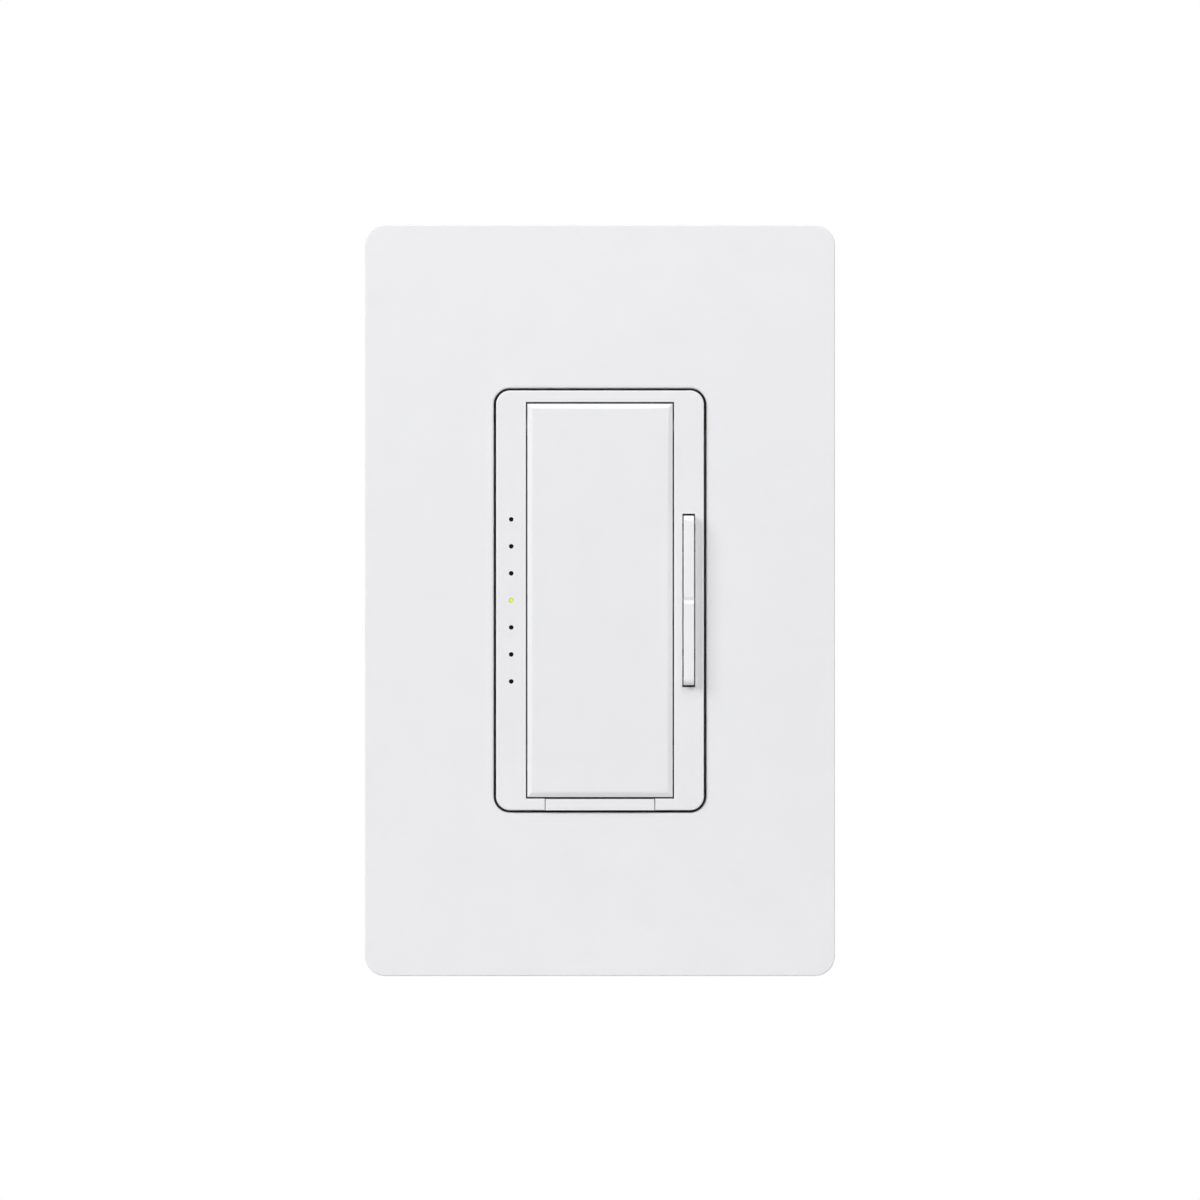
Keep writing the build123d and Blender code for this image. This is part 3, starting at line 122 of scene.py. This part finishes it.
def bump(tree, height, depth_mm, strength=1.0, normal=None):
    """A bump of depth_mm from a height between 0 and 1."""
    node = add_node(tree, "ShaderNodeBump", Strength=strength, Distance=depth_mm * MM)
    tree.links.new(height, node.inputs["Height"])
    if normal is not None:
        tree.links.new(normal, node.inputs["Normal"])
    return node.outputs["Normal"]


def shade(colour, factor):
    """An RGB triple made lighter or darker."""
    return tuple(min(1.0, channel * factor) for channel in colour)


# ---- Materials -------------------------------------------------------------------------------------------

PLASTIC_IOR = 1.49
FLOW_MM, SPECK_MM, GLOSS_MM, WAVE_MM = 9.0, 0.5, 3.0, 6.0
SPECK_AMOUNT, WAVE_PER_GRAIN = 0.35, 1.5


def moulded_plastic(name, colour, roughness=0.42, grain_mm=0.22, grain_depth=0.006, mottle=0.02):
    """Moulded plastic: a fine spark-eroded grain, faint flow mottle and slightly uneven gloss."""
    mat, tree, shader = new_material(name, colour, roughness)
    flow = noise(tree, FLOW_MM, detail=2.0)
    speck = noise(tree, SPECK_MM, detail=2.0)
    darker, lighter = shade(colour, 1 - mottle), shade(colour, 1 + mottle)
    tint = blend_colours(tree, remap(tree, flow, 0.0, 1.0), darker, lighter)
    speckled = blend_colours(tree, remap(tree, speck, 0.0, SPECK_AMOUNT), tint, darker)
    tree.links.new(speckled, shader.inputs["Base Color"])
    gloss = remap(tree, noise(tree, GLOSS_MM), roughness - 0.04, roughness + 0.06)
    tree.links.new(gloss, shader.inputs["Roughness"])
    fine = noise(tree, grain_mm, detail=4.0, roughness=0.6)
    wavy = noise(tree, WAVE_MM, detail=1.0)
    normal = bump(tree, wavy, grain_depth * WAVE_PER_GRAIN, strength=0.4)
    grained = bump(tree, fine, grain_depth, strength=0.6, normal=normal)
    tree.links.new(grained, shader.inputs["Normal"])
    shader.inputs["IOR"].default_value = PLASTIC_IOR
    return mat


LINES_MM, MARKS_MM = 0.35, 4.0


def metal(name, colour, roughness=0.32, brushed=(1, 1, 1), depth=0.004, stain=0.12):
    """Bare or plated metal with fine drawn lines, small handling marks and slightly uneven tone."""
    mat, tree, shader = new_material(name, colour, roughness, metallic=1.0)
    lines = noise(tree, LINES_MM, detail=5.0, stretch=brushed)
    marks = noise(tree, MARKS_MM, detail=4.0)
    darker, lighter = shade(colour, 1 - stain), shade(colour, 1 + stain / 3)
    tint = blend_colours(tree, remap(tree, marks, 0.0, 1.0), darker, lighter)
    tree.links.new(tint, shader.inputs["Base Color"])
    tree.links.new(remap(tree, marks, roughness + 0.1, roughness - 0.06), shader.inputs["Roughness"])
    tree.links.new(bump(tree, lines, depth, strength=0.7), shader.inputs["Normal"])
    return mat


MASK_GREEN, TRACE_GREEN, TIN = (0.012, 0.11, 0.05), (0.03, 0.2, 0.09), (0.62, 0.62, 0.6)
TRACE_SCALE, TRACE_WIDTH, PAD_PITCH_MM, WEAVE_SCALE = 400, 0.08, 2.54, 900.0
PAD_CORE, PAD_EDGE = 0.16, 0.2


def circuit_board(name):
    """Solder-masked glass laminate: traces under the mask, tinned pads and a weave that shows faintly."""
    black, white = (0, 0, 0, 1), (1, 1, 1, 1)
    mat, tree, shader = new_material(name, MASK_GREEN, 0.28)
    coords = object_coords(tree, (TRACE_SCALE, TRACE_SCALE, TRACE_SCALE))
    traces = add_node(tree, "ShaderNodeTexBrick", Scale=1.0, Color1=black, Color2=black, Mortar=white)
    traces.inputs["Mortar Size"].default_value = TRACE_WIDTH
    turned = tree.nodes.new("ShaderNodeMapping")
    turned.inputs["Rotation"].default_value = (math.radians(90), 0, 0)
    tree.links.new(coords, turned.inputs["Vector"])
    tree.links.new(turned.outputs["Vector"], traces.inputs["Vector"])
    pads = add_node(tree, "ShaderNodeTexVoronoi", Scale=MM_PER_M / PAD_PITCH_MM, Randomness=0.25)
    tree.links.new(object_coords(tree), pads.inputs["Vector"])
    track = remap(tree, traces.outputs["Fac"], 0, 1, from_low=0, from_high=1)
    traced = blend_colours(tree, track, MASK_GREEN, TRACE_GREEN)
    spot = remap(tree, pads.outputs["Distance"], 1.0, 0.0, from_low=PAD_CORE, from_high=PAD_EDGE)
    padded = blend_colours(tree, spot, traced, TIN)
    tree.links.new(padded, shader.inputs["Base Color"])
    tree.links.new(spot, shader.inputs["Metallic"])
    weave = add_node(tree, "ShaderNodeTexWave", Scale=WEAVE_SCALE, Distortion=1.0)
    tree.links.new(object_coords(tree), weave.inputs["Vector"])
    tree.links.new(bump(tree, weave.outputs["Fac"], 0.005, strength=0.5), shader.inputs["Normal"])
    tree.links.new(remap(tree, noise(tree, 5.0), 0.22, 0.36), shader.inputs["Roughness"])
    return mat


def fibre_sheet(name):
    """Vulcanised fibre: pale tan, matted fibres that show in tone and bump."""
    colour = (0.5, 0.41, 0.27)
    mat, tree, shader = new_material(name, colour, 0.72)
    fibres = noise(tree, 0.5, detail=6.0, stretch=(1, 1, 0.25))
    darker, lighter = shade(colour, 0.75), shade(colour, 1.15)
    tint = blend_colours(tree, remap(tree, fibres, 0.0, 1.0), darker, lighter)
    tree.links.new(tint, shader.inputs["Base Color"])
    tree.links.new(bump(tree, fibres, 0.03, strength=0.8), shader.inputs["Normal"])
    return mat


def clear_plastic(name):
    """Clear moulded plastic whose near-black colour is painted shade, standing in for the unlit inside that
    shows through it.
    """
    # Painted shade: the dark, slightly warm colour of the unlit inside seen through the light pipe.
    colour = (0.03, 0.027, 0.018)
    mat, tree, shader = new_material(name, colour, 0.2)
    shader.inputs["Transmission Weight"].default_value = 0.35
    shader.inputs["IOR"].default_value = PLASTIC_IOR
    tree.links.new(remap(tree, noise(tree, 1.0), 0.15, 0.3), shader.inputs["Roughness"])
    tree.links.new(bump(tree, noise(tree, 2.0), 0.01, strength=0.4), shader.inputs["Normal"])
    return mat


def glowing_plastic(name):
    """The lit lamp and its light pipe's tip: a yellow-green glow of slightly uneven strength."""
    glow = (0.62, 0.68, 0.03)
    mat, tree, shader = new_material(name, glow, 0.35)
    dimmer, brighter = shade(glow, 0.85), shade(glow, 1.1)
    uneven = blend_colours(tree, remap(tree, noise(tree, 0.2), 0.0, 1.0), dimmer, brighter)
    tree.links.new(uneven, shader.inputs["Base Color"])
    tree.links.new(uneven, shader.inputs["Emission Color"])
    shader.inputs["Emission Strength"].default_value = 0.44
    return mat


WHITE = (0.84, 0.84, 0.855)
ADAPTER_WHITE = (0.7, 0.69, 0.65)
MATERIALS = {
    "cover_white": moulded_plastic("cover_white_plastic", WHITE, roughness=0.5, mottle=0.008),
    "adapter_white": moulded_plastic("adapter_white_plastic", ADAPTER_WHITE, roughness=0.5),
    "bezel_white": moulded_plastic("bezel_white_plastic", WHITE, roughness=0.45, mottle=0.008),
    "tap_white": moulded_plastic("tap_white_plastic", WHITE, roughness=0.42, mottle=0.008),
    # Painted light: the rocker's white is 4 percent lighter than the other white parts, for the brighter look
    # its face has under the lamps.
    "rocker_white": moulded_plastic("rocker_white_plastic", shade(WHITE, 1.04), roughness=0.38, mottle=0.008),
    "tab_white": moulded_plastic("tab_white_plastic", WHITE, roughness=0.42, mottle=0.008),
    "clear_acrylic": clear_plastic("light_pipe_clear"),
    "zinc_screw": metal("zinc_plated_steel", (0.56, 0.56, 0.53), 0.34),
    "spring_steel": metal("drawn_spring_steel", (0.5, 0.5, 0.49), 0.3),
    "yoke_aluminium": metal("rolled_aluminium", (0.6, 0.6, 0.58), 0.42, brushed=(1, 1, 0.05), depth=0.012),
    "brass_strip": metal("stamped_brass", (0.68, 0.48, 0.2), 0.33, stain=0.2),
    "silver_contact": metal("silver_alloy", (0.74, 0.72, 0.68), 0.28),
    "fibre": fibre_sheet("vulcanised_fibre"),
    "green_screw": metal("green_plated_steel", (0.05, 0.3, 0.1), 0.38),
    "zinc_plate": metal("zinc_plated_plate", (0.54, 0.54, 0.51), 0.4),
    "board_green": circuit_board("green_circuit_board"),
    "lamp_off": moulded_plastic("unlit_lamp_body", (0.55, 0.54, 0.46), 0.3),
    "lamp_lit": glowing_plastic("lit_lamp_body"),
    "chip_black": moulded_plastic("chip_epoxy", (0.02, 0.02, 0.022), 0.5, mottle=0.2),
    "tinned_pin": metal("tinned_copper", (0.62, 0.61, 0.58), 0.3),
    "nylon": moulded_plastic("natural_nylon", (0.66, 0.64, 0.55), 0.4, mottle=0.05),
    "triac_black": moulded_plastic("triac_epoxy", (0.025, 0.025, 0.027), 0.48, mottle=0.2),
    "pad_grey": moulded_plastic("thermal_pad_grey", (0.36, 0.4, 0.42), 0.75, mottle=0.06),
    "iron_powder": moulded_plastic("powder_core_yellow", (0.5, 0.4, 0.04), 0.4, mottle=0.06),
    "enamelled_copper": metal("enamelled_copper_wire", (0.55, 0.19, 0.06), 0.24),
    "film_case": moulded_plastic("film_capacitor_box", (0.52, 0.26, 0.03), 0.3, mottle=0.05),
    "capacitor_sleeve": moulded_plastic("capacitor_sleeve_blue", (0.02, 0.03, 0.07), 0.25, mottle=0.1),
    "varistor_blue": moulded_plastic("varistor_dip_coat", (0.03, 0.1, 0.32), 0.22, mottle=0.08),
    "fuse_white": moulded_plastic("fuse_ceramic", (0.66, 0.64, 0.58), 0.5, mottle=0.05),
    "resistor_blue": moulded_plastic("resistor_lacquer", (0.1, 0.25, 0.36), 0.3, mottle=0.06),
    "housing_black": moulded_plastic("housing_thermoset", (0.022, 0.022, 0.024), 0.46, grain_mm=0.4,
                                     grain_depth=0.03, mottle=0.3),
    "label_silver": moulded_plastic("blank_label_film", (0.5, 0.5, 0.49), 0.36, grain_mm=0.6, mottle=0.02),
    "switch_black": moulded_plastic("switch_case_black", (0.03, 0.03, 0.032), 0.42, mottle=0.15),
    "plunger_grey": moulded_plastic("plunger_grey_plastic", (0.22, 0.22, 0.23), 0.4, mottle=0.08),
    "line_screw_brass": metal("line_screw_brass_metal", (0.72, 0.5, 0.19), 0.28),
    "load_screw_dark": metal("load_screw_blackened", (0.06, 0.06, 0.065), 0.42),
    "traveler_screw": metal("traveler_screw_nickel", (0.62, 0.61, 0.57), 0.28),
}

SLOT_OF = {part["node"]: part["material_slot"] for part in frame["record"]["subparts"]}
for node_name, node in frame["nodes"].items():
    for material_slot in node.material_slots:
        material_slot.material = MATERIALS[SLOT_OF[node_name]]


# ---- Pieces built here in place of plain CAD ones --------------------------------------------------------

SMOOTH_ANGLE = math.radians(35)


def finish_piece(name, shape, slot_name, body):
    """A scene object from a bmesh, smooth where its faces meet gently, that rides on body."""
    mesh = bpy.data.meshes.new(name)
    bmesh.ops.recalc_face_normals(shape, faces=shape.faces)
    shape.to_mesh(mesh)
    shape.free()
    mesh.materials.append(MATERIALS[slot_name])
    mesh.shade_smooth()
    mesh.set_sharp_from_angle(angle=SMOOTH_ANGLE)
    piece = bpy.data.objects.new(name, mesh)
    bpy.context.scene.collection.objects.link(piece)
    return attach(piece, body)


def add_tube(shape, rows):
    """Adds a tube through rows of points, with a flat cap at each end."""
    rings = [[shape.verts.new(point) for point in row] for row in rows]
    count = len(rings[0])
    for ring, following in zip(rings, rings[1:]):
        for side in range(count):
            after = (side + 1) % count
            shape.faces.new((ring[side], ring[after], following[after], following[side]))
    shape.faces.new(rings[0])
    shape.faces.new(reversed(rings[-1]))


# The box screws, in mm. The thread runs along Y, and over its last THREAD_TIP it narrows to TIP_SCALE.
BOX_SCREW_Z, THREAD_FRONT, THREAD_BACK, THREAD_R = 41.65, 0.44, 21.0, 1.75
THREAD_PITCH, THREAD_DEPTH, THREAD_TIP = 0.794, 0.36, 0.9
TIP_SCALE, TIP_GROWTH = 0.72, 0.28
FLANK_SLOPE, CREST_FLAT = 2.6, 0.15
AROUND, ROWS_PER_TURN = 28, 8
HEAD_CUT_MARGIN = 0.02


def threaded_shank(shape, z):
    """A helical thread along Y at the height z, in mm, with a short taper at its back end."""
    turns = (THREAD_BACK - THREAD_FRONT) / THREAD_PITCH
    count = int(turns * ROWS_PER_TURN)
    rows = []
    for index in range(count + 1):
        y = THREAD_FRONT + (THREAD_BACK - THREAD_FRONT) * index / count
        taper = min(1.0, TIP_SCALE + TIP_GROWTH * (THREAD_BACK - y) / THREAD_TIP)
        row = []
        for side in range(AROUND):
            turn = side / AROUND
            phase = (y / THREAD_PITCH + turn) % 1.0
            groove = min(1.0, max(0.0, FLANK_SLOPE * abs(phase - 0.5) - CREST_FLAT))
            radius = (THREAD_R - THREAD_DEPTH * groove) * taper
            angle = turn * math.tau
            row.append((radius * math.cos(angle) * MM, y * MM, z * MM + radius * math.sin(angle) * MM))
        rows.append(row)
    add_tube(shape, rows)


def threaded_box_screws():
    """The wall-box screws: the CAD screws' heads and necks with a real thread behind them."""
    cad = frame["nodes"]["box_screws"]
    shape = bmesh.new()
    shape.from_mesh(cad.data)
    shape.transform(cad.matrix_world)
    behind = [vertex for vertex in shape.verts if vertex.co.y > (THREAD_FRONT + HEAD_CUT_MARGIN) * MM]
    bmesh.ops.delete(shape, geom=behind, context="VERTS")
    for side in (-1, 1):
        threaded_shank(shape, side * BOX_SCREW_Z)
    piece = finish_piece("box_screws_threaded", shape, "zinc_screw", "frame")
    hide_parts("box_screws")


# The return springs, in mm. Of the wire's length, SPRING_FLAT lies flat at each end and SPRING_RISE climbs.
SPRING_X, SPRING_Z, SPRING_R, SPRING_WIRE_R = 7.0, -22.0, 1.7, 0.2
SPRING_FRONT, SPRING_BACK, SPRING_TURNS, SPRING_KEEP = -7.12, -1.5, 5.5, 0.86
SPRING_FLAT, SPRING_RISE = 0.12, 0.76
SPRING_STEPS, WIRE_SIDES = 220, 8


def return_springs():
    """Two coil springs with closed, flattened ends, built at their resting length."""
    shape = bmesh.new()
    low, high = SPRING_BACK - SPRING_WIRE_R, SPRING_FRONT + SPRING_WIRE_R
    for side_x in (-1, 1):
        rows = []
        for step in range(SPRING_STEPS + 1):
            share = step / SPRING_STEPS
            rise = min(1.0, max(0.0, (share - SPRING_FLAT) / SPRING_RISE))
            angle = share * SPRING_TURNS * math.tau
            centre = Vector((side_x * SPRING_X + SPRING_R * math.cos(angle), low + (high - low) * rise,
                             SPRING_Z + SPRING_R * math.sin(angle)))
            outward = Vector((math.cos(angle), 0, math.sin(angle)))
            row = []
            for corner in range(WIRE_SIDES):
                turn = corner / WIRE_SIDES * math.tau
                offset = outward * math.cos(turn) + Vector((0, 1, 0)) * math.sin(turn)
                row.append((centre + offset * SPRING_WIRE_R) * MM)
            rows.append(row)
        add_tube(shape, rows)
    piece = finish_piece("tap_return_coils", shape, "spring_steel", "frame")
    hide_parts("tap_return_springs")
    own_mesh(piece)


# The lit tip, in mm. Its dome stops at pi / LIT_TIP_END radians from its rim, so it ends in a small flat.
LIT_TIP_X, LIT_TIP_FRONT, LIT_TIP_BACK, LIT_TIP_R = -14.07, -8.12, -7.81, 0.36
LIT_TIP_END = 2.3
LIT_TIP_SIDES, LIT_TIP_STEPS = 24, 6


def lit_light_tip():
    """The domed tip of the middle light pipe, which glows."""
    shape = bmesh.new()
    angles = [side / LIT_TIP_SIDES * math.tau for side in range(LIT_TIP_SIDES)]
    rows = []
    for step in range(LIT_TIP_STEPS + 1):
        share = step / LIT_TIP_STEPS
        radius = LIT_TIP_R * math.cos(share * math.pi / LIT_TIP_END)
        y = LIT_TIP_BACK + (LIT_TIP_FRONT - LIT_TIP_BACK) * math.sin(share * math.pi / 2)
        rows.append([((LIT_TIP_X + radius * math.cos(angle)) * MM, y * MM, radius * math.sin(angle) * MM)
                     for angle in angles])
    add_tube(shape, rows)
    finish_piece("light_pipe_lit_tip", shape, "lamp_lit", "frame")


threaded_box_screws()
return_springs()
lit_light_tip()


# ---- Lights, floor and camera ----------------------------------------------------------------------------

# The ambient light's strength from the camera's side and from the rest, and the directions' Y that part them.
AMBIENT_FRONT, AMBIENT_SIDE = 0.02, 0.44
AMBIENT_FRONT_Y, AMBIENT_SIDE_Y = -0.95, -0.45


def surroundings():
    """A white background for the camera, and a soft light from all round that is dim on the camera's side."""
    white = (1, 1, 1, 1)
    world = bpy.data.worlds.new("studio_world")
    world.use_nodes = True
    tree = world.node_tree
    backdrop = tree.nodes["Background"]
    backdrop.inputs["Color"].default_value = white
    backdrop.inputs["Strength"].default_value = 1.0
    direction = tree.nodes.new("ShaderNodeTexCoord")
    parts = tree.nodes.new("ShaderNodeSeparateXYZ")
    tree.links.new(direction.outputs["Generated"], parts.inputs["Vector"])
    level = remap(tree, parts.outputs["Y"], AMBIENT_FRONT, AMBIENT_SIDE, AMBIENT_FRONT_Y, AMBIENT_SIDE_Y)
    ambient = add_node(tree, "ShaderNodeBackground", Color=white)
    tree.links.new(level, ambient.inputs["Strength"])
    path = tree.nodes.new("ShaderNodeLightPath")
    chosen = tree.nodes.new("ShaderNodeMixShader")
    tree.links.new(path.outputs["Is Camera Ray"], chosen.inputs["Fac"])
    tree.links.new(ambient.outputs["Background"], chosen.inputs[MIX_SHADER_FIRST])
    tree.links.new(backdrop.outputs["Background"], chosen.inputs[MIX_SHADER_SECOND])
    tree.links.new(chosen.outputs["Shader"], tree.nodes["World Output"].inputs["Surface"])
    bpy.context.scene.world = world


def area_light(name, place, size, power):
    """A square white soft box at place, in metres, that faces the origin. Its power is in watts."""
    data = bpy.data.lights.new(name, "AREA")
    data.size = size
    data.energy = power
    lamp = bpy.data.objects.new(name, data)
    lamp.location = place
    lamp.rotation_euler = (-Vector(place)).to_track_quat("-Z", "Y").to_euler()
    bpy.context.scene.collection.objects.link(lamp)


FLOOR_Z, FLOOR_RADIUS, FLOOR_SIDES = -120.0, 230.0, 96
FLOOR_GREY = (0.62, 0.62, 0.62)


def floor():
    """A plain pale disc under the device, below what the photograph's view takes in."""
    shape = bmesh.new()
    bmesh.ops.create_circle(shape, cap_ends=True, segments=FLOOR_SIDES, radius=FLOOR_RADIUS * MM)
    mesh = bpy.data.meshes.new("studio_floor")
    shape.to_mesh(mesh)
    shape.free()
    mesh.materials.append(moulded_plastic("studio_floor_paint", FLOOR_GREY, roughness=0.7))
    disc = bpy.data.objects.new("studio_floor", mesh)
    disc.location = (0, 0, FLOOR_Z * MM)
    bpy.context.scene.collection.objects.link(disc)


# All in mm but the clip distances, which are in metres.
PICTURE_WIDTH, PLATE_DEPTH, CAMERA_Z = 190.2, 7.6, 0.06
LENS, SENSOR_WIDTH = 200, 36
CLIP_START, CLIP_END = 0.05, 20


def camera():
    """A long lens straight in front of the plate, which fills 62.6 percent of the picture's height."""
    width = PICTURE_WIDTH * MM
    data = bpy.data.cameras.new("photo_camera")
    data.lens = LENS
    data.sensor_width = SENSOR_WIDTH
    distance = width * data.lens / data.sensor_width
    cam = bpy.data.objects.new("photo_camera", data)
    cam.location = (0, -distance - PLATE_DEPTH * MM, CAMERA_Z * MM)
    cam.rotation_euler = (math.radians(90), 0, 0)
    data.clip_start = CLIP_START
    data.clip_end = CLIP_END
    bpy.context.scene.collection.objects.link(cam)
    bpy.context.scene.camera = cam


surroundings()
area_light("key_light", place=(-0.79, -0.65, 0.52), size=0.5, power=7.65)
area_light("top_light", place=(0.1, -0.5, 0.46), size=0.4, power=2.0)
area_light("fill_light", place=(0.85, -0.75, 0.28), size=0.8, power=1.76)
area_light("back_light", place=(0.5, 0.9, 0.6), size=0.5, power=5.0)
floor()
camera()
bpy.context.scene.view_settings.view_transform = "Standard"
bpy.context.scene.view_settings.look = "None"
